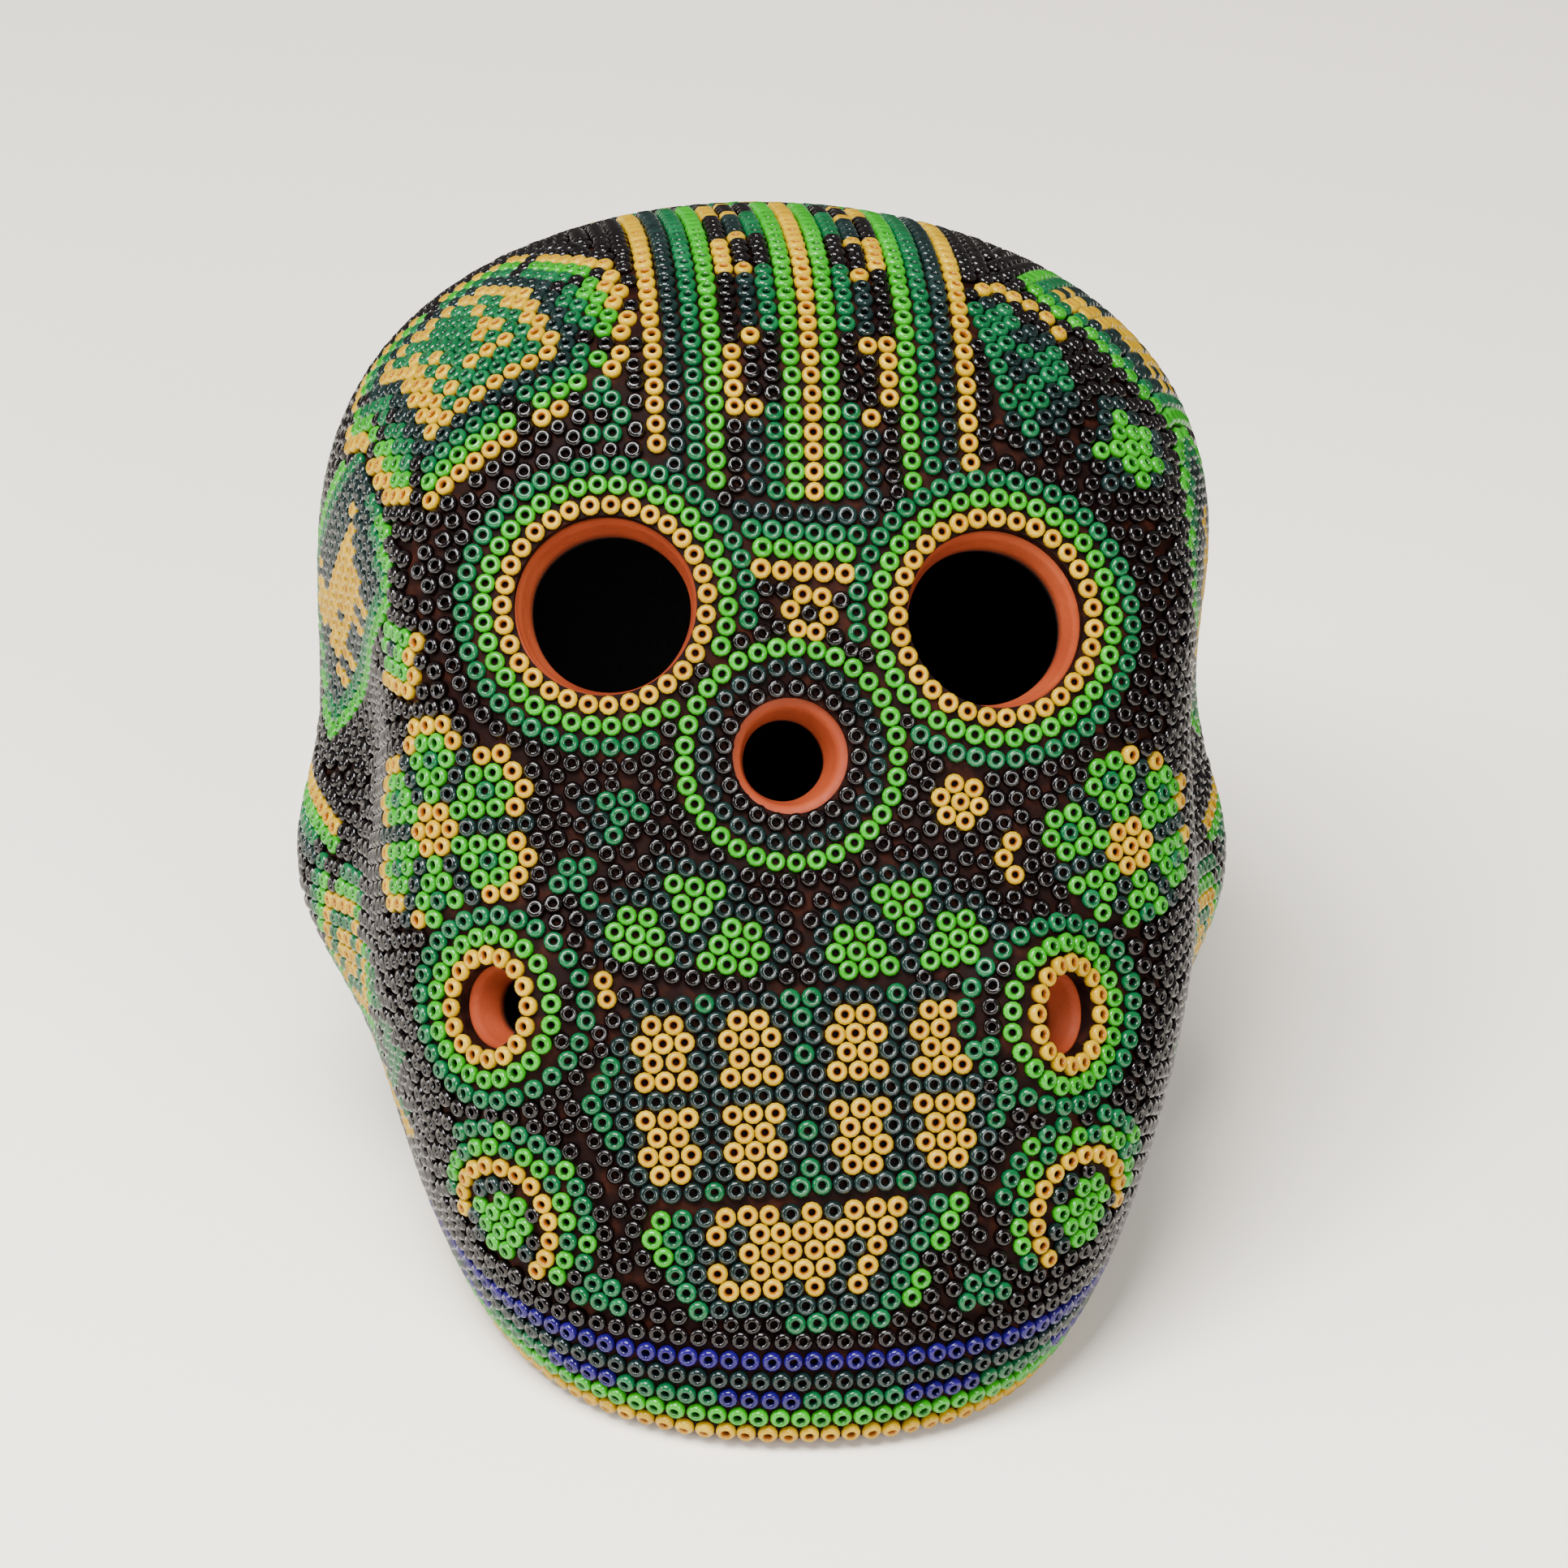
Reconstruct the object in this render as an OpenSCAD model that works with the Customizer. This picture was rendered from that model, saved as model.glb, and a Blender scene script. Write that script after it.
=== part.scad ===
// Beaded clay skull: a hollow fired-clay head, a wax skin, and glass seed beads set in the wax.
// Frame: +Z up, the face looks along -Y, +X is on the right of someone who faces it.
// The origin is under the middle of the head, on the surface it stands on. Millimetres.

/* [Head] */
// Width over the beads, cheekbone to cheekbone
skull_w = 107; // [90:1:130]
// Length over the beads, chin edge to the back of the head
skull_l = 147; // [122:1:178]
// Height over the beads, table to crown
skull_h = 111; // [92:1:134]
// Thickness of the clay wall
wall = 5; // [3.5:0.5:7]
// Thickness of the wax between the clay and the beads
wax_t = 1.2; // [0.8:0.1:2.4]
// Height of bare clay left under the lowest course of beads
foot_h = 1.4; // [1:0.1:3]

/* [Holes in the clay] */
// Eye hole, diameter at the outer face of the clay
eye_d = 19.4; // [14:0.2:21]
// Nose hole, diameter at the outer face of the clay
nose_d = 11; // [7:0.2:12]
// Cheek hole, diameter at the outer face of the clay
cheek_d = 8.6; // [6:0.2:10]
// How much the diameter of each of these holes narrows through the wall
hole_taper = 1.4; // [0.6:0.1:3]
// Opening in the underside
base_d = 36; // [26:1:44]

/* [Beads] */
// Outer diameter of a seed bead
bead_d = 2.1; // [1.8:0.05:2.6]
// Hole in a seed bead
bead_hole = 0.8; // [0.6:0.05:1]
// Height of a seed bead along its hole
bead_h = 1.4; // [1:0.05:1.8]
// Space left between neighbouring beads
bead_gap = 0.06; // [0.03:0.01:0.2]
// Distance from one round course to the next
course_pitch = 2.25; // [2:0.05:3]

/* [Hidden] */
pitch = bead_d + bead_gap;
clay_red = [0.72, 0.33, 0.16];
wax_brown = [0.16, 0.08, 0.05];
yellow = [1.0, 0.80, 0.05];
lime = [0.36, 0.78, 0.25];
green = [0.10, 0.52, 0.28];
dark_green = [0.08, 0.17, 0.14];
black = [0.05, 0.05, 0.05];
blue = [0.12, 0.08, 0.45];

// The head is drawn once at this size over the beads, and then stretched to the size asked for.
drawn = [106.6, 146.3, 110.9];
stretch = [skull_w / drawn.x, skull_l / drawn.y, skull_h / drawn.z];
centre = [0, stretch.y * -12.1, stretch.z * 49.5];
blend = 6;
base_blend = 36;

function dir(az, el) = [sin(az) * cos(el), -cos(az) * cos(el), sin(el)];
function unit(v) = v / norm(v);
function by(a, b) = [a.x * b.x, a.y * b.y, a.z * b.z];
function over(a, b) = [a.x / b.x, a.y / b.y, a.z / b.z];
function sum(list) = list * [for (i = list) 1];

// Distance to a flat side of the head, as a term of the soft minimum below
function flat_side(v, az, el, d) = pow(max(0, v * dir(az, el)) / d, blend);
function swell(v, az, el, amount, spread) =
    amount * exp((v * dir(az, el) - 1) / pow(spread * PI / 180, 2));

// An egg, cut back by a sloping face, a muzzle, two sides and two cheeks, and then swelled
function egg(v) = pow(v.x / 61, 2) + pow(v.y / (v.y > 0 ? 85.5 : 90), 2)
    + pow(v.z / (v.z > 0 ? 61.5 : 73), 2);
function plain_head(v) =
    pow(pow(egg(v), blend / 2) + flat_side(v, 0, 31, 38.4) + flat_side(v, 0, 21, 59.4)
        + sum([for (s = [-1, 1]) flat_side(v, s * 88.5, -12.4, 52.8)
            + flat_side(v, s * 47.5, 12, 60.5)]), -1 / blend)
    + sum([for (s = [-1, 1])
        swell(v, s * 95.5, -12.8, 6.2, 11.6)      // cheekbone
        + swell(v, s * 86, 13.7, -6.2, 15.8)      // temple
        + swell(v, s * 120, 44, 3.5, 19.6)        // side of the crown
        + swell(v, s * 14, -10.4, 1.2, 13.6)]);   // mouth

// Holes: direction from the centre, direction the hole faces, and how far its flat seat reaches
LEFT_EYE = [-43.5, 47.4, -12, 37, 17];
RIGHT_EYE = [41.8, 46.2, 12, 37, 17];
NOSE = [-2.9, 32.5, -1, 29, 11.5];
LEFT_CHEEK = [-40, -5.6, -51, 18, 10];
RIGHT_CHEEK = [33.6, -5.6, 51, 18, 10];
HOLES = [LEFT_EYE, RIGHT_EYE, NOSE, LEFT_CHEEK, RIGHT_CHEEK];
REACH = [for (h = HOLES) plain_head(dir(h[0], h[1]))];
function seat_share(v, i) =
    exp(-pow(acos(min(1, v * dir(HOLES[i][0], HOLES[i][1]))) * PI / 180 * REACH[i] / HOLES[i][4], 4));
function seat_plane(v, i) = REACH[i] * (dir(HOLES[i][0], HOLES[i][1]) * dir(HOLES[i][2], HOLES[i][3]))
    / max(0.2, v * dir(HOLES[i][2], HOLES[i][3]));
function seated(v, r, i = 0) = i == len(HOLES) ? r
    : seated(v, r + (seat_share(v, i) < 0.001 ? 0 : seat_share(v, i) * (seat_plane(v, i) - r)), i + 1);

// A point of a layer: v is a direction, inset the depth under the bead tops, floor_z its flat bottom
function skin(v, inset) =
    let (p = by(stretch, v * seated(v, plain_head(v)))) p * (1 - inset / norm(p));
function soft_floor(p, depth) = p.z >= 0 ? p
    : p * pow(1 + pow(-p.z / depth, base_blend), -1 / base_blend);
function layer(v, inset, floor_z) = centre + soft_floor(skin(v, inset), centre.z - floor_z);

// Insets of the three layers
bead_top = 0;
wax_top = bead_h;
clay_top = bead_h + wax_t;
clay_in = clay_top + wall;
// The flat bottoms of the layers, a hair low where a cut then makes them truly flat
low_cut = -0.8;
// Rings of the clay and the wax, closer together where the sides turn under to the base
wall_rings = concat([for (t = [6.5:6.5:117]) t], [for (t = [121:3:145]) t]);

// Direction, from the centre, of a point in space
function towards(q) = unit(over(q - centre, stretch));
function wax_point(v) = layer(v, wax_top, low_cut);
function normal_at(v) =
    let (a = unit(cross(v, abs(v.z) > 0.9 ? [1, 0, 0] : [0, 0, 1])), b = cross(v, a), e = 0.01)
    unit(cross(wax_point(unit(v + e * b)) - wax_point(unit(v - e * b)),
        wax_point(unit(v + e * a)) - wax_point(unit(v - e * a))));

// Centre of a hole on the bead tops, and the way it faces after the stretch
function hole_at(i) = centre + by(stretch, REACH[i] * dir(HOLES[i][0], HOLES[i][1]));
function hole_axis(i) = unit(over(dir(HOLES[i][2], HOLES[i][3]), stretch));
function across(n) = unit(cross([0, 0, 1], n));
function off_axis(p, i) = let (d = p - hole_at(i)) d - (d * hole_axis(i)) * hole_axis(i);
// Direction of the wax point that lies a given way off the axis of hole i
function beside_hole(i, way, q, n = 4) = n == 0 ? towards(q)
    : beside_hole(i, way, q + way - off_axis(wax_point(towards(q)), i), n - 1);
function ring_dir(i, r, a) =
    let (u = across(hole_axis(i)), way = r * (cos(a) * u + sin(a) * cross(hole_axis(i), u)))
    beside_hole(i, way, hole_at(i) + way);

// Diameters of the holes, and the clay left bare round each of them before the wax begins
hole_d = [eye_d, eye_d, nose_d, cheek_d, cheek_d];
bare = [0.25, 0.25, 0.8, 0.25, 0.25];
function ring_r(i, k) = hole_d[i] / 2 + bare[i] + bead_d / 2 + k * pitch;
function ring_edge(i) = ring_r(i, 2) + pitch / 2;
function ring_count(i, k) = floor(2 * PI * ring_r(i, k) / pitch);

// Height of each round course at the base, and the top of the lowest bead fields
COURSES = 6;
function course_z(k) = foot_h + bead_d / 2 + 0.15 + k * course_pitch;
field_z = course_z(COURSES - 1) + course_pitch / 2 + 0.1;
function elev_at(az, z, el = -30, n = 9) = n == 0 ? el
    : let (p = wax_point(dir(az, el)) - centre)
    elev_at(az, z, atan2((z - centre.z) / stretch.z, norm([p.x / stretch.x, p.y / stretch.y])), n - 1);
function course_dir(az, z) = dir(az, elev_at(az, z));
STEPS = 72;
function steps_of(z) = let (pts = [for (i = [0:STEPS]) wax_point(course_dir(i * 360 / STEPS, z))])
    [for (i = 0, s = 0; i <= STEPS; s = s + (i < STEPS ? norm(pts[i + 1] - pts[i]) : 0), i = i + 1) s];

/* Solids made of layer points */

// The part of the head round an axis, in rings at these angles from it, between two layers,
// each given as [inset, floor]
module dome(axis, angles, spokes, outer, inner) {
    u = unit(cross(abs(axis.z) > 0.9 ? [1, 0, 0] : [0, 0, 1], axis));
    w = cross(axis, u);
    rings = len(angles);
    dirs = concat([axis], [for (t = angles, j = [0:spokes - 1])
        let (a = 360 * j / spokes)
        cos(t) * axis + sin(t) * (cos(a) * u + sin(a) * w)]);
    n = len(dirs);
    function id(i, j) = 1 + (i - 1) * spokes + j % spokes;
    up = concat([for (j = [0:spokes - 1]) [0, id(1, j + 1), id(1, j)]],
        [for (i = [1:rings - 1], j = [0:spokes - 1])
            each [[id(i, j), id(i, j + 1), id(i + 1, j + 1)], [id(i, j), id(i + 1, j + 1), id(i + 1, j)]]]);
    edge = [for (j = [0:spokes - 1]) let (a = id(rings, j), b = id(rings, j + 1))
        each [[a, b, b + n], [a, b + n, a + n]]];
    polyhedron(concat([for (v = dirs) layer(v, outer[0], outer[1])],
        [for (v = dirs) layer(v, inner[0], inner[1])]),
        concat(up, [for (f = up) [f[2] + n, f[1] + n, f[0] + n]], edge));
}

// Direction on the head by its place over the face (0 is level, 90 the crown) and to the side
function over_face(phi, side) = [sin(side), -cos(side) * cos(phi), cos(side) * sin(phi)];

// A field of beads, as one block of the bead layer between two angles each way, less the bead
// rings of the holes listed
module field(phi_a, phi_b, side_a, side_b, holes = []) {
    n = max(2, round((phi_b - phi_a) / 6.5));
    m = max(2, round((side_b - side_a) / 6.5));
    dirs = [for (i = [0:n], j = [0:m])
        over_face(phi_a + (phi_b - phi_a) * i / n, side_a + (side_b - side_a) * j / m)];
    k = len(dirs);
    function id(i, j) = i * (m + 1) + j;
    up = [for (i = [0:n - 1], j = [0:m - 1])
        each [[id(i, j), id(i + 1, j), id(i + 1, j + 1)], [id(i, j), id(i + 1, j + 1), id(i, j + 1)]]];
    rim = concat([for (j = [0:m - 1]) [id(0, j), id(0, j + 1)]],
        [for (i = [0:n - 1]) [id(i, m), id(i + 1, m)]],
        [for (j = [m:-1:1]) [id(n, j), id(n, j - 1)]],
        [for (i = [n:-1:1]) [id(i, 0), id(i - 1, 0)]]);
    difference() {
        polyhedron(concat([for (v = dirs) layer(v, bead_top, low_cut)],
            [for (v = dirs) layer(v, wax_top, low_cut)]),
            concat(up, [for (f = up) [f[2] + k, f[1] + k, f[0] + k]],
                [for (e = rim) each [[e[0], e[0] + k, e[1] + k], [e[0], e[1] + k, e[1]]]]));
        if (phi_a < -20 || phi_b > 190) under(field_z);
        for (i = holes) ring_room(i);
    }
}

// Everything below a height
module under(z) {
    translate([-skull_w, -skull_l, z - skull_h]) cube([2 * skull_w, 2 * skull_l, skull_h]);
}
module along(n) {
    rotate([0, acos(n.z), atan2(n.y, n.x)]) children();
}
// A round tool on the axis of hole i: r where the clay begins, and narrower or wider by its slope
module hole_tool(i, r, depth, slope = 0) {
    above = 6;
    translate(hole_at(i)) along(hole_axis(i)) translate([0, 0, -depth])
        cylinder(r1 = r - slope * (depth - clay_top), r2 = r + slope * (clay_top + above),
            h = depth + above, $fn = 64);
}
module ring_room(i) {
    hole_tool(i, ring_edge(i), 9);
}

/* One bead, and beads in rings and courses */

// A round-sided bead, flat at both ends of its hole
module bead() {
    rotate_extrude($fn = 32)
        intersection() {
            translate([0, bead_h / 2]) circle(d = bead_d, $fn = 32);
            translate([bead_hole / 2, 0]) square([bead_d, bead_h]);
        }
}
module bead_at(v) {
    translate(wax_point(v)) along(normal_at(v)) bead();
}
// A ring stops where the ring of the nose hole already lies
function ring_dirs(i, k) = [for (j = [0:ring_count(i, k) - 1])
    let (v = ring_dir(i, ring_r(i, k), 360 * (j + 0.5 * k) / ring_count(i, k)))
    if (i == 2 || norm(off_axis(wax_point(v), 2)) > ring_r(2, 2) + pitch) v];
module bead_ring(i, k) {
    for (v = ring_dirs(i, k)) bead_at(v);
}
module bead_course(k) {
    z = course_z(k);
    lengths = steps_of(z);
    total = lengths[STEPS];
    count = floor(total / pitch);
    where = [for (i = [0:STEPS]) [lengths[i], i * 360 / STEPS]];
    for (j = [0:count - 1]) bead_at(course_dir(lookup(total * (j + 0.5 * (k % 2)) / count, where), z));
}

/* The clay and the wax */

module skull_clay() {
    color(clay_red)
        difference() {
            dome([0, 0, 1], concat(wall_rings, [152, 161, 170]), 52, [clay_top, low_cut],
                [clay_in, wall]);
            under(0);
            translate([0, centre.y, -1]) cylinder(d = base_d, h = wall + 4, $fn = 96);
            for (i = [0:4]) hole_tool(i, hole_d[i] / 2, clay_in + 8, hole_taper / 2 / wall);
        }
}
module wax_skin() {
    color(wax_brown)
        difference() {
            dome([0, 0, 1], concat(wall_rings, [150]), 52, [wax_top, low_cut], [clay_top, low_cut]);
            under(foot_h);
            for (i = [0:4]) hole_tool(i, hole_d[i] / 2 + bare[i], 9);
        }
}

/* Fields of beads, named by where they lie; s is -1 on the left and 1 on the right */

// Edges of the fields: angles over the face, and angles to the side
chin_low = -48;
teeth_low = -18;
lip_low = -3;
cheek_low = 14;
brow_low = 44;
crown_low = 68;
crown_high = 120;
nape = 166;
back_low = 230;
mid = 20;
mouth_side = 26;
far = 62;
// A pair of side edges on side s, in rising order
function edges(s, a, b) = s < 0 ? [-b, -a] : [a, b];
module side_field(s, phi_a, phi_b, a, b, holes = []) {
    e = edges(s, a, b);
    field(phi_a, phi_b, e[0], e[1], holes);
}
function eye_of(s) = s < 0 ? 0 : 1;
function cheek_of(s) = s < 0 ? 3 : 4;

// Tools on the head, at a direction and along the normal there: x runs down the face, y across it
module on_head(v) {
    translate(wax_point(v)) along(normal_at(v)) children();
}
tooth = [8.2, 6.4];
tooth_rows = [-4.7, 4.7];
tooth_places = [-14.7, -5.7, 5.7, 14.7];
module tooth_blocks() {
    on_head(over_face(-10.5, 0))
        for (x = tooth_rows, y = tooth_places)
            translate([x - tooth.x / 2, y - tooth.y / 2, -6]) cube([tooth.x, tooth.y, 12]);
}
module flower_disc(s) {
    on_head(over_face(20.5, s * 47)) translate([0, 0, -6]) cylinder(r = 10.4, h = 12, $fn = 48);
}

module forehead_stripes() {
    color(green) field(crown_low, crown_high, -mid, mid, [0, 1]);
}
module brow_bridge() {
    color(dark_green) field(brow_low, crown_low, -mid, mid, [0, 1, 2]);
}
module nose_surround() {
    color(black) field(cheek_low, brow_low, -mid, mid, [0, 1, 2]);
}
module upper_lip() {
    color(green) field(lip_low, cheek_low, -mouth_side, mouth_side, [2, 3, 4]);
}
module teeth() {
    color(yellow)
        intersection() {
            field(teeth_low, lip_low, -mouth_side, mouth_side);
            tooth_blocks();
        }
}
module teeth_ground() {
    color(dark_green)
        difference() {
            field(teeth_low, lip_low, -mouth_side, mouth_side, [3, 4]);
            tooth_blocks();
        }
}
module chin_panel() {
    color(dark_green) field(chin_low, teeth_low, -mouth_side, mouth_side);
}
module crown_panel(s) {
    color(yellow) side_field(s, crown_low, crown_high, mid, far, [eye_of(s)]);
}
module temple(s) {
    color(green) side_field(s, brow_low, crown_low, mid, far, [eye_of(s)]);
}
module cheek_flower(s) {
    color(lime)
        intersection() {
            side_field(s, cheek_low - 12, brow_low, mid, far);
            flower_disc(s);
        }
}
module cheekbone(s) {
    color(black)
        difference() {
            side_field(s, cheek_low, brow_low, mid, far, [eye_of(s), 2]);
            flower_disc(s);
        }
}
module cheek_hollow(s) {
    color(black)
        difference() {
            side_field(s, teeth_low, cheek_low, mouth_side, far, [cheek_of(s)]);
            flower_disc(s);
        }
}
module jaw(s) {
    color(green) side_field(s, chin_low, teeth_low, mouth_side, far, [cheek_of(s)]);
}
module jaw_side(s) {
    color(black) side_field(s, -132, chin_low, mouth_side, far);
}
module ear_side(s) {
    color(green) dome([s, 0, 0], [for (i = [1:5]) (90 - far) * i / 5], 26, [bead_top, low_cut], [wax_top, low_cut]);
}
module back_crown() {
    color(black) field(crown_high, nape, -far, far);
}
module back_of_head() {
    color(black) field(nape, back_low, -far, far);
}

skull_clay();
wax_skin();
color(yellow) bead_ring(0, 0);  // left_eye_ring_yellow
color(lime) bead_ring(0, 1);  // left_eye_ring_lime
color(green) bead_ring(0, 2);  // left_eye_ring_green
color(yellow) bead_ring(1, 0);  // right_eye_ring_yellow
color(lime) bead_ring(1, 1);  // right_eye_ring_lime
color(green) bead_ring(1, 2);  // right_eye_ring_green
color(black) bead_ring(2, 0);  // nose_ring_black
color(dark_green) bead_ring(2, 1);  // nose_ring_dark_green
color(lime) bead_ring(2, 2);  // nose_ring_lime
color(yellow) bead_ring(3, 0);  // left_cheek_ring_yellow
color(lime) bead_ring(3, 1);  // left_cheek_ring_lime
color(green) bead_ring(3, 2);  // left_cheek_ring_green
color(yellow) bead_ring(4, 0);  // right_cheek_ring_yellow
color(lime) bead_ring(4, 1);  // right_cheek_ring_lime
color(green) bead_ring(4, 2);  // right_cheek_ring_green
color(yellow) bead_course(0);  // course_yellow
color(lime) bead_course(1);  // course_lime
color(green) bead_course(2);  // course_green_blue
color(dark_green) bead_course(3);  // course_dark_green
color(blue) bead_course(4);  // course_blue
color(black) bead_course(5);  // course_black
forehead_stripes();
brow_bridge();
nose_surround();
upper_lip();
teeth();
teeth_ground();
chin_panel();
crown_panel(-1);  // left_crown_panel
crown_panel(1);  // right_crown_panel
temple(-1);  // left_temple
temple(1);  // right_temple
cheek_flower(-1);  // left_cheek_flower
cheek_flower(1);  // right_cheek_flower
cheekbone(-1);  // left_cheekbone
cheekbone(1);  // right_cheekbone
cheek_hollow(-1);  // left_cheek_hollow
cheek_hollow(1);  // right_cheek_hollow
jaw(-1);  // left_jaw
jaw(1);  // right_jaw
jaw_side(-1);  // left_jaw_side
jaw_side(1);  // right_jaw_side
ear_side(-1);  // left_ear_side
ear_side(1);  // right_ear_side
back_crown();
back_of_head();
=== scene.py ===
import math
import bmesh
import bpy
import numpy as np
from mathutils import Matrix, Vector
from mathutils.bvhtree import BVHTree
from mathutils.kdtree import KDTree


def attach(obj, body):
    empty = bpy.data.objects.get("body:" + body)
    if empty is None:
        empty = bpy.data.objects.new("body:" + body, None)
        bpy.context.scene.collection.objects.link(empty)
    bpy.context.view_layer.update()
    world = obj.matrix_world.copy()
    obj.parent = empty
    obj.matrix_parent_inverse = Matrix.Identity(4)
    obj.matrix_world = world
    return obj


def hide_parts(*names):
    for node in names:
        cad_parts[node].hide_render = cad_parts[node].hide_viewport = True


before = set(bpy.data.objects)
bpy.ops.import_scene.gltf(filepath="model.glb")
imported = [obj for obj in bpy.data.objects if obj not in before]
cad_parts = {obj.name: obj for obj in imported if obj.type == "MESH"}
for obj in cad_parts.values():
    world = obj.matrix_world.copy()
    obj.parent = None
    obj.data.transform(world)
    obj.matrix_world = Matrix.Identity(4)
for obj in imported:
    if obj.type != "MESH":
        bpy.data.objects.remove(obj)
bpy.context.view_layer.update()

MM = 0.001

# The camera looks down on the face of the skull from a little to its left. It has a long lens,
# is held a little out of level, and is aimed at a point inside the face.
VIEW_ANGLE, VIEW_SHIFT = 14.34, (0.0028, 0.0236)
CAMERA_TURN, CAMERA_HEIGHT, CAMERA_ROLL = -6.34, 27.13, 2.69
CAMERA_AIM, CAMERA_FAR = (0, -0.021, 0.05), 0.7
camera_data = bpy.data.cameras.new("camera")
camera_data.angle = math.radians(VIEW_ANGLE)
camera_data.shift_x, camera_data.shift_y = VIEW_SHIFT
camera_data.clip_start, camera_data.clip_end = 0.05, 20
camera = bpy.data.objects.new("camera", camera_data)
bpy.context.scene.collection.objects.link(camera)
azimuth, elevation, roll = (math.radians(v) for v in (CAMERA_TURN, CAMERA_HEIGHT, CAMERA_ROLL))
back = Vector((math.sin(azimuth) * math.cos(elevation), -math.cos(azimuth) * math.cos(elevation),
               math.sin(elevation)))
level = Vector((math.cos(azimuth), math.sin(azimuth), 0))
upright = back.cross(level)
side = level * math.cos(roll) + upright * math.sin(roll)
top = upright * math.cos(roll) - level * math.sin(roll)
camera.matrix_world = (Matrix.Translation(Vector(CAMERA_AIM) + back * CAMERA_FAR)
                       @ Matrix((side, top, back)).transposed().to_4x4())
bpy.context.scene.camera = camera

# The floor is plain and pale, with a warm matt paint.
# Square soft lights hang overhead, in front and to the left, and a pale room fills the shadows.
LIGHTS = (("light_top", (-0.3, -0.45, 0.95), 0.6, 40.0), ("light_front", (0.35, -1.1, 0.5), 0.45, 13.0),
          ("light_left", (-0.95, -0.3, 0.4), 0.4, 8.0))
LIGHT_AIM = Vector((0, -0.02, 0.05))
ROOM_GLOW = 0.32
floor_mesh = bpy.data.meshes.new("floor")
floor_mesh.from_pydata([(-4, -4, 0), (4, -4, 0), (4, 4, 0), (-4, 4, 0)], [], [(0, 1, 2, 3)])
floor = bpy.data.objects.new("floor", floor_mesh)
bpy.context.scene.collection.objects.link(floor)
floor_paint = bpy.data.materials.new("floor_pale")
floor_paint.use_nodes = True
floor_surface = floor_paint.node_tree.nodes["Principled BSDF"]
floor_surface.inputs["Base Color"].default_value = (0.95, 0.88, 0.78, 1)
floor_surface.inputs["Roughness"].default_value = 0.75
floor_mesh.materials.append(floor_paint)

for name, where, width, power in LIGHTS:
    lamp = bpy.data.lights.new(name, "AREA")
    lamp.shape, lamp.size, lamp.energy = "SQUARE", width, power
    lamp_object = bpy.data.objects.new(name, lamp)
    lamp_object.location = where
    lamp_object.rotation_euler = (LIGHT_AIM - Vector(where)).to_track_quat("-Z", "Y").to_euler()
    bpy.context.scene.collection.objects.link(lamp_object)
room = bpy.data.worlds.new("room")
room.use_nodes = True
room.node_tree.nodes["Background"].inputs["Color"].default_value = (1.0, 0.98, 0.95, 1)
room.node_tree.nodes["Background"].inputs["Strength"].default_value = ROOM_GLOW
bpy.context.scene.world = room

# The clay skull: one hollow fired piece of terracotta, with hand-cut holes for the eyes, nose and
# cheeks, their edges wiped round while wet, and an opening underneath. Its shape is an egg, cut back
# by a sloping face, a muzzle and the sides, then swelled here and there. Sizes are in millimetres.
SIZE = np.array([107.0, 147.0, 111.0]) / np.array([106.6, 146.3, 110.9])  # wanted size / shape's own
CENTRE = SIZE * np.array([0.0, -12.1, 49.5])
BLEND = 6
BASE_BLEND = 36
WALL, WAX, FOOT, OPENING = 5.0, 1.2, 1.4, 36.0
BEAD_RISE = 1.4
HALF_WIDTH, HALF_FRONT, HALF_BACK, HALF_UP, HALF_DOWN = 61, 90, 85.5, 61.5, 73
FLATS = [(0, 31, 38.4), (0, 21, 59.4)]  # the face and the muzzle: way it faces, distance from the centre
SWELLS = []                             # each a way from the centre, an amount and a spread in degrees
for s in (-1, 1):
    FLATS += [(s * 88.5, -12.4, 52.8), (s * 47.5, 12, 60.5)]
    SWELLS += [(s * 95.5, -12.8, 6.2, 11.6), (s * 86, 13.7, -6.2, 15.8),
               (s * 120, 44, 3.5, 19.6), (s * 14, -10.4, 1.2, 13.6)]


def direction(az, el):
    """The way at an azimuth and elevation, in degrees; azimuth 0 is the front, and 90 the right."""
    a, e = np.radians(az), np.radians(el)
    return np.array([np.sin(a) * np.cos(e), -np.cos(a) * np.cos(e), np.sin(e)])


HOLES = {  # where it is seen from the centre, the way it faces, the reach of its flat seat, its width
    "left_eye": (-43.5, 47.4, -12, 37, 17, 19.4), "right_eye": (41.8, 46.2, 12, 37, 17, 19.4),
    "nose": (-2.9, 32.5, -1, 29, 11.5, 11.0),
    "left_cheek": (-40, -5.6, -51, 18, 10, 8.6), "right_cheek": (33.6, -5.6, 51, 18, 10, 8.6)}


def plain_head(v):
    """How far the plain head reaches in directions v, before it is flattened round its holes."""
    x, y, z = v.T
    egg = ((x / HALF_WIDTH) ** 2 + (y / np.where(y > 0, HALF_BACK, HALF_FRONT)) ** 2
           + (z / np.where(z > 0, HALF_UP, HALF_DOWN)) ** 2)
    total = egg ** (BLEND / 2)
    for az, el, far in FLATS:
        total = total + (np.maximum(0, v @ direction(az, el)) / far) ** BLEND
    radius = total ** (-1 / BLEND)
    for az, el, amount, spread in SWELLS:
        radius = radius + amount * np.exp((v @ direction(az, el) - 1) / np.radians(spread) ** 2)
    return radius


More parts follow.
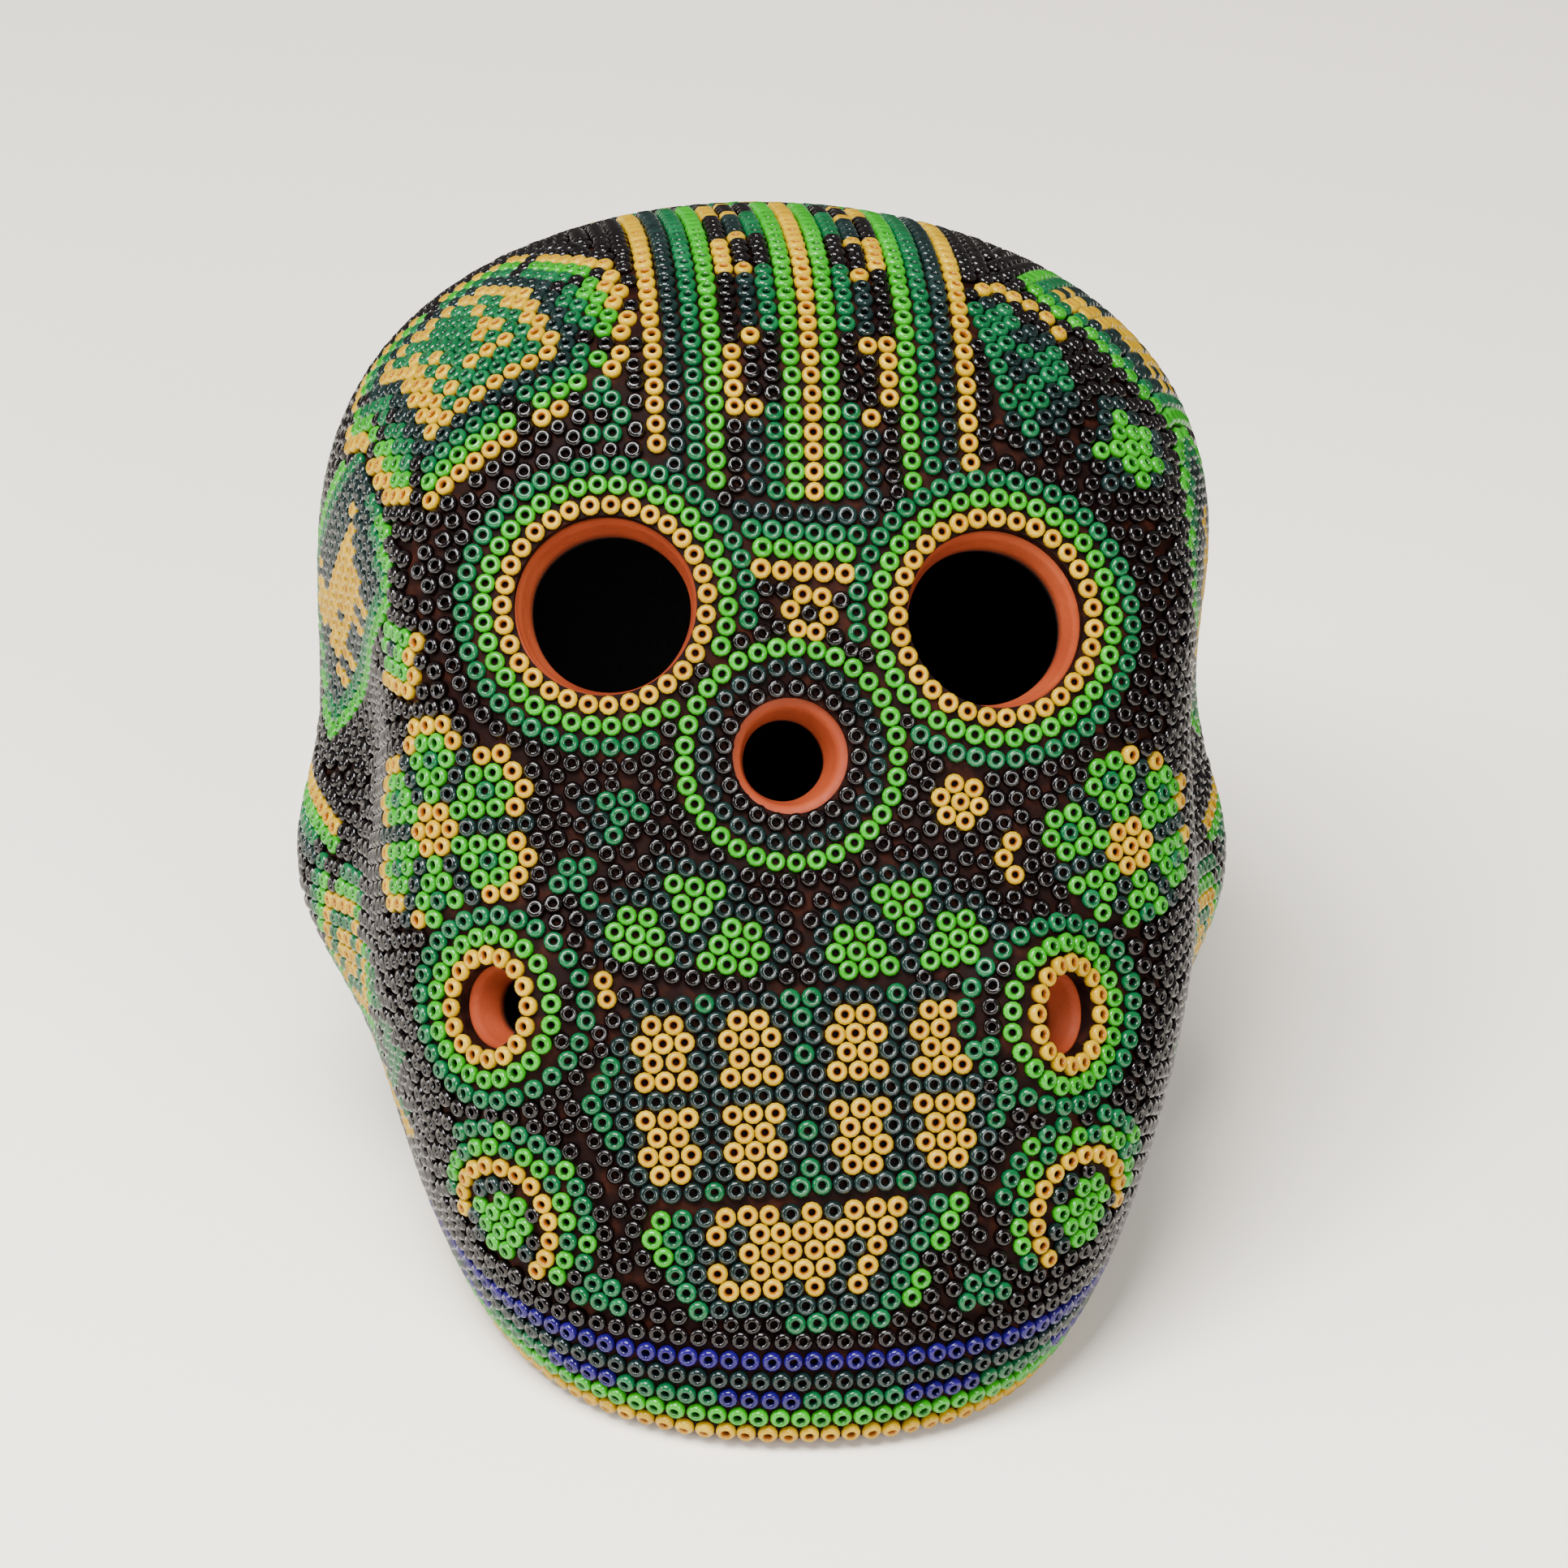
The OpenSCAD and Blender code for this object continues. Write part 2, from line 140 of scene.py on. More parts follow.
def layer(v, inset, floor_z=-0.8):
    """Points of the head in directions v, inset under the bead tops, over a flat bottom."""
    radius = plain_head(v)
    for az, el, faz, fel, reach, _ in HOLES.values():
        out, face = direction(az, el), direction(faz, fel)
        r = plain_head(out[None])[0]
        share = np.exp(-(np.arccos(np.clip(v @ out, -1, 1)) * r / reach) ** 4)
        radius = radius + share * (r * (out @ face) / np.maximum(0.2, v @ face) - radius)
    p = v * radius[:, None] * SIZE
    p = p * (1 - inset / np.linalg.norm(p, axis=1, keepdims=True))
    fall = np.maximum(0, -p[:, 2]) / (CENTRE[2] - floor_z)
    return CENTRE + p * ((1 + fall ** BASE_BLEND) ** (-1 / BASE_BLEND))[:, None]


def hole_axis(name):
    """Where a hole's middle lies on the bead tops, the way it faces, and its radius."""
    az, el, faz, fel, _, across = HOLES[name]
    at = CENTRE + SIZE * plain_head(direction(az, el)[None])[0] * direction(az, el)
    n = direction(faz, fel) / SIZE
    return at, n / np.linalg.norm(n), across / 2


def dome_directions(angles, spokes):
    """Ways from the centre: straight up, then a ring at each angle from it."""
    a = np.linspace(0, 2 * np.pi, spokes, endpoint=False)
    t = np.radians(angles)[:, None]
    ring = np.stack([np.sin(t) * np.cos(a), np.sin(t) * np.sin(a), np.cos(t) + 0 * a], -1)
    return np.vstack([[0, 0, 1], ring.reshape(-1, 3)])


def dome_faces(rings, spokes, start=0, outward=True):
    """The faces between the rings of a dome, whose points begin at start."""
    def at(i, j):
        return start + 1 + (i - 1) * spokes + j % spokes
    faces = [(start, at(1, j), at(1, j + 1)) for j in range(spokes)]
    faces += [(at(i, j), at(i + 1, j), at(i + 1, j + 1), at(i, j + 1))
              for i in range(1, rings) for j in range(spokes)]
    return faces if outward else [f[::-1] for f in faces]


def shell(name, angles, spokes, outer, inner):
    """A closed shell between two layers; the last ring joins them underneath."""
    v = dome_directions(angles, spokes)
    n, rings = len(v), len(angles)
    faces = dome_faces(rings, spokes) + dome_faces(rings, spokes, n, False)
    last = [1 + (rings - 1) * spokes + j for j in range(spokes)]
    faces += [(last[(j + 1) % spokes], last[j], last[j] + n, last[(j + 1) % spokes] + n)
              for j in range(spokes)]
    return mesh_piece(name, np.vstack([outer(v), inner(v)]), faces)


def mesh_piece(name, points, faces):
    """A piece from points in millimetres and faces."""
    mesh = bpy.data.meshes.new(name)
    mesh.from_pydata((np.asarray(points) * MM).tolist(), [], faces)
    mesh.validate()
    piece = bpy.data.objects.new(name, mesh)
    bpy.context.scene.collection.objects.link(piece)
    return piece


def lathe(at, axis, profile, spokes, wobble=0.0, phase=0.0, slant=(0, 0)):
    """Points and faces of a closed profile of (radius, depth) turned round a hole's axis.
    slant is how far the profile strays sideways from its first depth to its last."""
    u = np.cross([0, 0, 1], axis)
    u = u / np.linalg.norm(u) if np.linalg.norm(u) > 0.01 else np.array([1.0, 0, 0])
    w = np.cross(axis, u)
    start, length = profile[0][1], profile[-1][1] - profile[0][1]
    aslant = u * slant[0] - w * slant[1]
    points = []
    for j in range(spokes):
        a = 2 * math.pi * j / spokes
        out = math.cos(a) * u + math.sin(a) * w
        uneven = 1 + wobble * (math.sin(3 * a + phase) + 0.6 * math.sin(5 * a - 2 * phase))
        points += [at + out * r * uneven - axis * depth + aslant * max(0, depth - start) / length
                   for r, depth in profile]
    k = len(profile)
    faces = [(j * k + i, ((j + 1) % spokes) * k + i, ((j + 1) % spokes) * k + (i + 1) % k,
              j * k + (i + 1) % k) for j in range(spokes) for i in range(k)]
    return points, faces


def joined(name, parts):
    """One piece made of several sets of points and faces."""
    points, faces = [], []
    for more, sides in parts:
        faces += [tuple(i + len(points) for i in f) for f in sides]
        points += list(more)
    piece = mesh_piece(name, points, faces)
    turn_outward(piece)
    return piece


def turn_outward(piece, triangles=True):
    """Turns every face of a closed piece outwards, as triangles if wanted."""
    shape = bmesh.new()
    shape.from_mesh(piece.data)
    if triangles:
        bmesh.ops.triangulate(shape, faces=shape.faces)
    bmesh.ops.recalc_face_normals(shape, faces=shape.faces)
    shape.to_mesh(piece.data)
    shape.free()


def plug(name, extra, top, bottom):
    """A round plug in a hole, wider than it by extra, from one depth to another."""
    at, axis, r = hole_axis(name)
    disc = [(0.001, top), (r + extra, top), (r + extra, bottom), (0.001, bottom)]
    return lathe(at, axis, disc, 64)


def carve(piece, tools):
    """Cuts each tool from the piece, or joins it on, one after another."""
    turn_outward(piece)
    for how, tool in tools:
        cut = piece.modifiers.new("cut", "BOOLEAN")
        cut.operation, cut.solver, cut.object = how, "EXACT", tool
        made = bpy.data.meshes.new_from_object(
            piece.evaluated_get(bpy.context.evaluated_depsgraph_get()))
        piece.modifiers.clear()
        old, piece.data = piece.data, made
        bpy.data.meshes.remove(old)
        made.name = piece.name
        bpy.data.objects.remove(tool)
        turn_outward(piece)


def below(height):
    """A block that holds everything under a height."""
    corners = [(x, y, z) for z in (-20, height) for y in (-120, 120) for x in (-90, 90)]
    return corners, [(0, 2, 3, 1), (4, 5, 7, 6), (0, 1, 5, 4), (2, 6, 7, 3), (0, 4, 6, 2), (1, 3, 7, 5)]


WAX_TOP, CLAY_TOP, CLAY_IN = BEAD_RISE, BEAD_RISE + WAX, BEAD_RISE + WAX + WALL
TAPER = 1.05                                            # a hole is this much narrower inside
SLANTS = {"nose": (-0.5, 0.4), "left_eye": (0.3, 0.0)}  # how far a hole strays as it goes in
BARE = {"nose": 0.75}                                   # clay left bare of wax round a hole
clay = shell("clay_skull", np.concatenate([np.arange(3, 118, 3), np.arange(119, 171, 2)]), 120,
             lambda v: layer(v, CLAY_TOP), lambda v: layer(v, CLAY_IN, WALL))
collars, plugs = [], []
for number, name in enumerate(HOLES):
    at, axis, r = hole_axis(name)
    az, el = HOLES[name][:2]
    lean = direction(az, el) @ axis
    high, low = CLAY_TOP * lean, CLAY_IN * lean
    inner = r - TAPER
    bare = BARE.get(name, 0.1)
    # The lip in section: from the wax over the rounded edge, then down the bore and back under the clay.
    lip = [(r + bare + 1.7, high + 0.2), (r + bare + 0.7, high + 0.02), (r + bare, high - 0.15),
           (r + 0.1, high + 0.1), (r - 0.2, high + 0.5), (r - 0.36, high + 1.1),
           (r - 0.6, (high + low) / 2), (inner, low - 1.3), (inner - 0.04, low - 0.7),
           (inner + 0.15, low - 0.2), (inner + 0.9, low), (r + bare + 1.7, low - 0.25)]
    collars.append(lathe(at, axis, lip, 72, 0.006, number, SLANTS.get(name, (0, 0))))
    plugs.append(plug(name, bare + 1.1, -6, low + 3))
base_tool = lathe(CENTRE * [1, 1, 0], np.array([0, 0, 1.0]),
                  [(0.001, -9), (OPENING / 2, -9), (OPENING / 2, 2), (0.001, 2)], 96)
carve(clay, [("DIFFERENCE", joined("under", [below(0)])), ("DIFFERENCE", joined("base", [base_tool])),
             ("DIFFERENCE", joined("holes", plugs)), ("UNION", joined("lips", collars))])


def smoothed(piece, sharpest):
    """Smooth faces, but for edges sharper than some degrees."""
    for face in piece.data.polygons:
        face.use_smooth = True
    piece.data.set_sharp_from_angle(angle=math.radians(sharpest))


smoothed(clay, 50)


def nodes_of(name):
    """A new material, its node tree and its surface."""
    material = bpy.data.materials.new(name)
    material.use_nodes = True
    tree = material.node_tree
    return material, tree, tree.nodes["Principled BSDF"]


def add(tree, kind, settings=(), **inputs):
    """A shader node with its settings, and values or sockets for its inputs; i0 is the first input."""
    node = tree.nodes.new(kind)
    for key, value in dict(settings).items():
        setattr(node, key, value)
    for key, value in inputs.items():
        by_place = key[0] == "i" and key[1:].isdigit()
        socket = node.inputs[int(key[1:]) if by_place else key.replace("_", " ")]
        if hasattr(value, "is_output"):
            tree.links.new(value, socket)
        else:
            socket.default_value = value
    return node


def ramp(tree, fac, stops):
    """A colour that runs through stops of (place, colour)."""
    node = add(tree, "ShaderNodeValToRGB", Fac=fac)
    band = node.color_ramp
    while len(band.elements) > 1:
        band.elements.remove(band.elements[-1])
    for i, (place, colour) in enumerate(stops):
        stop = band.elements[0] if i == 0 else band.elements.new(place)
        stop.position, stop.color = place, (*colour, 1)
    return node.outputs["Color"]


def mixed(tree, fac, a, b):
    """A colour between a and b."""
    return add(tree, "ShaderNodeMix", {"data_type": "RGBA"}, i0=fac, i6=a, i7=b).outputs[2]


def share(tree, value, low, high):
    """How far a value has come from low to high, from 0 to 1."""
    return add(tree, "ShaderNodeMapRange", Value=value, From_Min=low, From_Max=high).outputs[0]


def finish(tree, surface, colour, rough, bump, shine):
    """Feeds a surface with its colour, its roughness, its bump and the strength of its shine."""
    tree.links.new(colour, surface.inputs["Base Color"])
    tree.links.new(rough, surface.inputs["Roughness"])
    tree.links.new(bump.outputs["Normal"], surface.inputs["Normal"])
    surface.inputs["Specular IOR Level"].default_value = shine


PAINTED_INSIDE_SHADE = (0.004, 0.002, 0.0015, 1)  # painted shade: the unlit inside is coloured near-black, and is never seen as bare clay
clay_paint, tree, surface = nodes_of("terracotta")
coords = add(tree, "ShaderNodeTexCoord").outputs["Object"]
cloud = add(tree, "ShaderNodeTexNoise", Vector=coords, Scale=90.0, Detail=4.0).outputs["Fac"]
grain = add(tree, "ShaderNodeTexNoise", Vector=coords, Scale=1500.0, Detail=3.0).outputs["Fac"]
deep = add(tree, "ShaderNodeAttribute", {"attribute_name": "depth"}).outputs["Fac"]
colour = ramp(tree, cloud, [(0.3, (0.15, 0.020, 0.005)), (0.55, (0.22, 0.033, 0.008)),
                            (0.75, (0.29, 0.055, 0.017))])
# Deeper than 3.6 to 4.7 mm under the outside, the clay turns to the painted shade of its unlit inside.
finish(tree, surface, mixed(tree, share(tree, deep, 3.6, 4.7), colour, PAINTED_INSIDE_SHADE),
       add(tree, "ShaderNodeMapRange", Value=grain, To_Min=0.5, To_Max=0.8).outputs[0],
       add(tree, "ShaderNodeBump", Strength=0.25, Distance=0.0002, Height=grain), 0.2)
clay.data.materials.append(clay_paint)
# How deep each point lies under the outside; it tells the clay where to paint the shade of its inside.
rest = np.array([v.co for v in clay.data.vertices]) / MM - CENTRE
span = np.linalg.norm(rest, axis=1)
depth = np.linalg.norm(layer(rest / span[:, None], CLAY_TOP) - CENTRE, axis=1) - span  # under the outside
clay.data.attributes.new("depth", "FLOAT", "POINT").data.foreach_set("value", depth)
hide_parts("skull_clay")
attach(clay, "root")

# The wax: dark reddish beeswax and pine resin, warmed and spread over the clay by hand.
# The beads are pressed into it, so it stands up a little between them and round the holes.
WAX_STANDS = 0.5
WAX_FOOT = -2.2
LUMPS, LUMP_CLOSENESS, LUMP_RISE = 8, 60, 0.14
rng = np.random.default_rng(11)
lumps = [(rng.normal(size=3), rng.uniform(0, 6)) for _ in range(LUMPS)]


def wax_surface(v):
    uneven = sum(np.sin(v @ (w / np.linalg.norm(w)) * LUMP_CLOSENESS + p) for w, p in lumps) / LUMPS
    return layer(v, WAX_TOP - WAX_STANDS, WAX_FOOT) + v * uneven[:, None] * LUMP_RISE


wax = shell("wax_skin_spread", np.concatenate([np.arange(2, 118, 2), np.arange(119, 147, 1.5)]), 200,
            wax_surface, lambda v: layer(v, CLAY_TOP - 0.03))
WAX_EDGE = {"nose": 0.8}  # the wax begins this far from the edge of a hole
rims = [plug(name, WAX_EDGE.get(name, 0.22), -6, 9) for name in HOLES]
carve(wax, [("DIFFERENCE", joined("wax_holes", rims)),
            ("DIFFERENCE", joined("wax_under", [below(FOOT)]))])
smoothed(wax, 55)
wax_paint, tree, surface = nodes_of("dark_beeswax")
coords = add(tree, "ShaderNodeTexCoord").outputs["Object"]
smear = add(tree, "ShaderNodeTexNoise", Vector=coords, Scale=420.0, Detail=5.0).outputs["Fac"]
finish(tree, surface,
       ramp(tree, smear, [(0.3, (0.003, 0.0006, 0.0003)), (0.5, (0.006, 0.0012, 0.0006)),
                          (0.76, (0.026, 0.006, 0.0025))]),
       add(tree, "ShaderNodeMapRange", Value=smear, To_Min=0.55, To_Max=0.85).outputs[0],
       add(tree, "ShaderNodeBump", Strength=0.5, Distance=0.0004, Height=smear), 0.06)
wax.data.materials.append(wax_paint)
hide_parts("wax_skin")
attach(wax, "root")

# The beads are seed beads of opaque glass, pressed into the wax one by one with the hole outwards.
# Their places are worked out bead by bead on the wax, so that each lies close to its neighbours.
# The same list of places holds every bead, from the rings round the holes to the black ground.
BEAD, GAP = 2.1, 0.06
PITCH = BEAD + GAP
CLOSE, SNUG = 0.93, 0.85  # a bead fits where no other lies nearer than this share of the pitch
ground_v = dome_directions(np.arange(1, 152, 1.0), 320)
ground_points = layer(ground_v, WAX_TOP)
ground = BVHTree.FromPolygons([Vector(p) for p in ground_points], dome_faces(151, 320))
places, facings, letters, sizes = [], [], [], []
cells = {}
CELL = 2.4
hole_axes = {name: hole_axis(name) for name in HOLES}
CLEAR = {"nose": 0.8}  # from the edge of a hole to its first ring
COURSES = 6
COURSE_PITCH = 2.25
course_z = [FOOT + BEAD / 2 + 0.15 + k * COURSE_PITCH for k in range(COURSES)]
LOWEST = course_z[-1] + 1.2


def ring_radius(name, k):
    return hole_axes[name][2] + CLEAR.get(name, 0.25) + BEAD / 2 + k * PITCH


def seat(p):
    """The point of the wax nearest to p, and the way it faces."""
    at, n, _, _ = ground.find_nearest(p)
    return at, n


def cell_of(p):
    """The box of space that p lies in, which makes its neighbours quick to find."""
    return (math.floor(p.x / CELL), math.floor(p.y / CELL), math.floor(p.z / CELL))


def near(p, reach):
    """The beads that lie nearer to p than reach."""
    a, b, c = cell_of(p)
    span = 1 if reach <= CELL else 2
    found = []
    for i in range(a - span, a + span + 1):
        for j in range(b - span, b + span + 1):
            for k in range(c - span, c + span + 1):
                for bead in cells.get((i, j, k), ()):
                    if (places[bead] - p).length < reach:
                        found.append(bead)
    return found


def over_hole(p):
    """Whether a bead at p would stand over one of the holes."""
    for name, (at, axis, _) in hole_axes.items():
        d = p - Vector(at)
        along = d.dot(Vector(axis))
        if abs(along) < 12 and (d - along * Vector(axis)).length < ring_radius(name, 0) - 0.15:
            return True
    return False


def press(p, letter, size, room, normal=None):
    """Presses a bead into the wax nearest to p, or at p when its normal is given, if no other lies
    nearer than a share of the pitch. Returns its number."""
    at, n = (p, normal) if normal is not None else seat(p)
    if room and near(at, PITCH * room):
        return None
    number = len(places)
    places.append(at)
    facings.append(n)
    letters.append(letter)
    sizes.append(size)
    cells.setdefault(cell_of(at), []).append(number)
    return number


# One bead: a short piece of drawn glass tube, tumbled until its edges are round. A tree of nodes sets
# a copy of it at each place, leaning a little its own way, as beads pressed in by hand do.
PROFILE = [(0.40, 0.12), (0.37, 1.12), (0.68, 1.41), (1.06, 1.02), (1.02, 0.22)]
SIDES, SECTION = 12, len(PROFILE)
BEAD_REACH = 1.09
LEAN = 0.07
bead_points, bead_faces = [], []
for j in range(SIDES):
    a = 2 * math.pi * j / SIDES
    bead_points += [(math.cos(a) * r, math.sin(a) * r, z) for r, z in PROFILE]
    bead_faces += [(j * SECTION + i, j * SECTION + (i + 1) % SECTION,
                    ((j + 1) % SIDES) * SECTION + (i + 1) % SECTION, ((j + 1) % SIDES) * SECTION + i)
                   for i in range(SECTION)]
bead = mesh_piece("one_bead", bead_points, bead_faces)
turn_outward(bead, False)
# Height and distance from the axis are kept on each point of the bead; the glass uses them to paint shade
# inside the hole and at the foot.
rise = bead.data.attributes.new("rise", "FLOAT", "POINT")
rise.data.foreach_set("value", [p[2] / BEAD_RISE for p in bead_points])
reach = bead.data.attributes.new("reach", "FLOAT", "POINT")
reach.data.foreach_set("value", [math.hypot(p[0], p[1]) / BEAD_REACH for p in bead_points])


def setting_tree():
    """Sets the bead on each point, along its facing and at its size, then makes it real and glazes it."""
    tree = bpy.data.node_groups.new("beads_set_in_wax", "GeometryNodeTree")
    face = tree.interface
    face.new_socket("Geometry", in_out="INPUT", socket_type="NodeSocketGeometry")
    for label, kind, value in (("Bead", "NodeSocketObject", None), ("Lean", "NodeSocketFloat", LEAN),
                               ("Seed", "NodeSocketInt", 1), ("Glass", "NodeSocketMaterial", None)):
        socket = face.new_socket(label, in_out="INPUT", socket_type=kind)
        if value is not None:
            socket.default_value = value
    face.new_socket("Geometry", in_out="OUTPUT", socket_type="NodeSocketGeometry")
    new, link = tree.nodes.new, tree.links.new
    given, result = new("NodeGroupInput"), new("NodeGroupOutput")
    source = new("GeometryNodeObjectInfo")
    link(given.outputs["Bead"], source.inputs["Object"])
    facing = new("GeometryNodeInputNamedAttribute")
    facing.data_type = "FLOAT_VECTOR"
    facing.inputs["Name"].default_value = "facing"
    size = new("GeometryNodeInputNamedAttribute")
    size.data_type = "FLOAT"
    size.inputs["Name"].default_value = "size"
    align = new("FunctionNodeAlignRotationToVector")
    align.axis = "Z"
    link(facing.outputs["Attribute"], align.inputs["Vector"])
    lean = new("ShaderNodeVectorMath")
    lean.operation = "MULTIPLY"
    chance = new("FunctionNodeRandomValue")
    chance.data_type = "FLOAT_VECTOR"
    chance.inputs[0].default_value = (-1, -1, -1)
    chance.inputs[1].default_value = (1, 1, 1)
    link(given.outputs["Seed"], chance.inputs["Seed"])
    spread = new("ShaderNodeCombineXYZ")
    link(given.outputs["Lean"], spread.inputs["X"])
    link(given.outputs["Lean"], spread.inputs["Y"])
    spread.inputs["Z"].default_value = math.pi
    link(chance.outputs[0], lean.inputs[0])
    link(spread.outputs[0], lean.inputs[1])
    euler = new("FunctionNodeEulerToRotation")
    link(lean.outputs[0], euler.inputs[0])
    turned = new("FunctionNodeRotateRotation")
    turned.rotation_space = "LOCAL"
    link(align.outputs[0], turned.inputs[0])
    link(euler.outputs[0], turned.inputs[1])
    setter = new("GeometryNodeInstanceOnPoints")
    link(given.outputs["Geometry"], setter.inputs["Points"])
    link(source.outputs["Geometry"], setter.inputs["Instance"])
    link(turned.outputs[0], setter.inputs["Rotation"])
    link(size.outputs["Attribute"], setter.inputs["Scale"])
    real, smooth = new("GeometryNodeRealizeInstances"), new("GeometryNodeSetShadeSmooth")
    glaze = new("GeometryNodeSetMaterial")
    link(setter.outputs[0], real.inputs[0])
    link(real.outputs[0], smooth.inputs["Geometry"])
    link(smooth.outputs[0], glaze.inputs["Geometry"])
    link(given.outputs["Glass"], glaze.inputs["Material"])
    link(glaze.outputs[0], result.inputs[0])
    return tree


SETTING = setting_tree()


def bead_colour_group():
    """The colour of opaque bead glass: a painted shade darkens it in the hole and where it meets the wax. It
    is streaked along the tube, and each bead has its own tone between a duller and a lighter one."""
    group = bpy.data.node_groups.new("bead_glass_colour", "ShaderNodeTree")
    for label in ("Deep", "Dull", "Body", "Light"):
        group.interface.new_socket(label, in_out="INPUT", socket_type="NodeSocketColor")
    group.interface.new_socket("Colour", in_out="OUTPUT", socket_type="NodeSocketColor")
    given, result = group.nodes.new("NodeGroupInput").outputs, group.nodes.new("NodeGroupOutput")
    rise, tone, reach = (add(group, "ShaderNodeAttribute", {"attribute_name": label}).outputs["Fac"]
                         for label in ("rise", "tone", "reach"))
    coords = add(group, "ShaderNodeTexCoord").outputs["Object"]
    streak = add(group, "ShaderNodeTexNoise", Vector=coords, Scale=900.0, Detail=2.0).outputs["Fac"]
    own = mixed(group, share(group, tone, 0.0, 0.5), given["Dull"], given["Body"])
    own = mixed(group, share(group, tone, 0.5, 1.0), own, given["Light"])
    streaks = add(group, "ShaderNodeMapRange", Value=streak, From_Min=0.4, From_Max=0.75, To_Max=0.25)
    own = mixed(group, streaks.outputs[0], own, given["Light"])
    # The body colour shows high on the bead and away from its hole; low down and inside the hole, the
    # painted shade takes over.
    clear = add(group, "ShaderNodeMath", {"operation": "MULTIPLY"}, i0=share(group, rise, 0.1, 0.5),
                i1=share(group, reach, 0.38, 0.60)).outputs[0]
    group.links.new(mixed(group, clear, given["Deep"], own), result.inputs["Colour"])
    return group


BEAD_COLOUR = bead_colour_group()


def glass(colour, deep, body, light, rough, shine):
    """Opaque bead glass of one colour, fire-polished, so its surface is smooth and bright."""
    # deep is the colour of the painted shade in the bead's hole and at its foot against the wax.
    material, tree, surface = nodes_of("glass_" + colour)
    dull = tuple(c * 0.86 for c in body)
    tones = add(tree, "ShaderNodeGroup", {"node_tree": BEAD_COLOUR}, Deep=(*deep, 1), Dull=(*dull, 1),
                Body=(*body, 1), Light=(*light, 1))
    tree.links.new(tones.outputs["Colour"], surface.inputs["Base Color"])
    surface.inputs["Roughness"].default_value = rough
    surface.inputs["IOR"].default_value = 1.52
    surface.inputs["Specular IOR Level"].default_value = shine
    return colour, material


GLASS = {  # the letter of a bead in the charts, and its glass
    # Each glass: its name, the painted shade of its hole and foot, its body, its lighter tone, its roughness
    # and its shine.
    "Y": glass("yellow", (0.20, 0.055, 0.0), (0.34, 0.20, 0.0), (0.39, 0.24, 0.0), 0.2, 0.25),
    "L": glass("lime", (0.004, 0.06, 0.002), (0.011, 0.20, 0.003), (0.018, 0.24, 0.005), 0.13, 0.35),
    "G": glass("green", (0.001, 0.02, 0.007), (0.002, 0.062, 0.018), (0.004, 0.082, 0.026), 0.11, 0.35),
    "D": glass("dark_green", (0.001, 0.003, 0.0025), (0.0025, 0.009, 0.008), (0.005, 0.015, 0.0135),
               0.1, 0.35),
    "K": glass("black", (0.0006, 0.0002, 0.0002), (0.0016, 0.0007, 0.0008), (0.003, 0.0014, 0.0015),
               0.08, 0.35),
    "B": glass("blue", (0.001, 0.0, 0.02), (0.006, 0.001, 0.065), (0.010, 0.002, 0.09), 0.11, 0.3)}
MOST = 1300  # beads in one piece
made_pieces = []


def bead_piece(name, beads, letter, replaces=()):
    """One piece of plain mesh, made of real beads of one colour at their places in the wax."""
    colour, glaze = GLASS[letter]
    points = bpy.data.meshes.new(name + "_places")
    points.from_pydata([tuple(places[b] * MM) for b in beads], [], [])
    chance = np.random.default_rng(len(made_pieces) + 5)
    for label, kind, values in (
            ("facing", "FLOAT_VECTOR", [c for b in beads for c in facings[b]]),
            ("size", "FLOAT", [sizes[b] * v for b, v in zip(beads, chance.uniform(0.97, 1.02, len(beads)))]),
            ("tone", "FLOAT", chance.uniform(0, 1, len(beads)).tolist())):
        kept = points.attributes.new(label, kind, "POINT")
        kept.data.foreach_set("vector" if kind == "FLOAT_VECTOR" else "value", values)
    piece = bpy.data.objects.new(name, points)
    bpy.context.scene.collection.objects.link(piece)
    modifier = piece.modifiers.new("setting", "NODES")
    modifier.node_group = SETTING
    sockets = {s.name: s.identifier for s in SETTING.interface.items_tree if s.in_out == "INPUT"}
    modifier[sockets["Bead"]] = bead
    modifier[sockets["Lean"]] = LEAN
    modifier[sockets["Seed"]] = len(made_pieces) + 1
    modifier[sockets["Glass"]] = glaze
    made = bpy.data.meshes.new_from_object(piece.evaluated_get(bpy.context.evaluated_depsgraph_get()))
    piece.modifiers.clear()
    piece.data = made
    made.name = name
    bpy.data.meshes.remove(points)
    if replaces:
        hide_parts(*replaces)
    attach(piece, "root")
    made_pieces.append(name)


def finish_beads(group, beads, replaces=None):
    """Makes one piece for each colour of a group of beads; replaces names the CAD nodes by colour."""
    left = dict(replaces or {})
    for letter, (colour, _) in GLASS.items():
        own = [b for b in beads if b is not None and letters[b] == letter]
        for start in range(0, len(own), MOST):
            tail = "" if len(own) <= MOST else "_" + "abcdefgh"[start // MOST]
            bead_piece(f"{group}_{colour}{tail}", own[start:start + MOST], letter,
                       left.pop(letter, ()) if start == 0 else ())
    if left:
        raise ValueError(f"{group}: no beads for {left}")


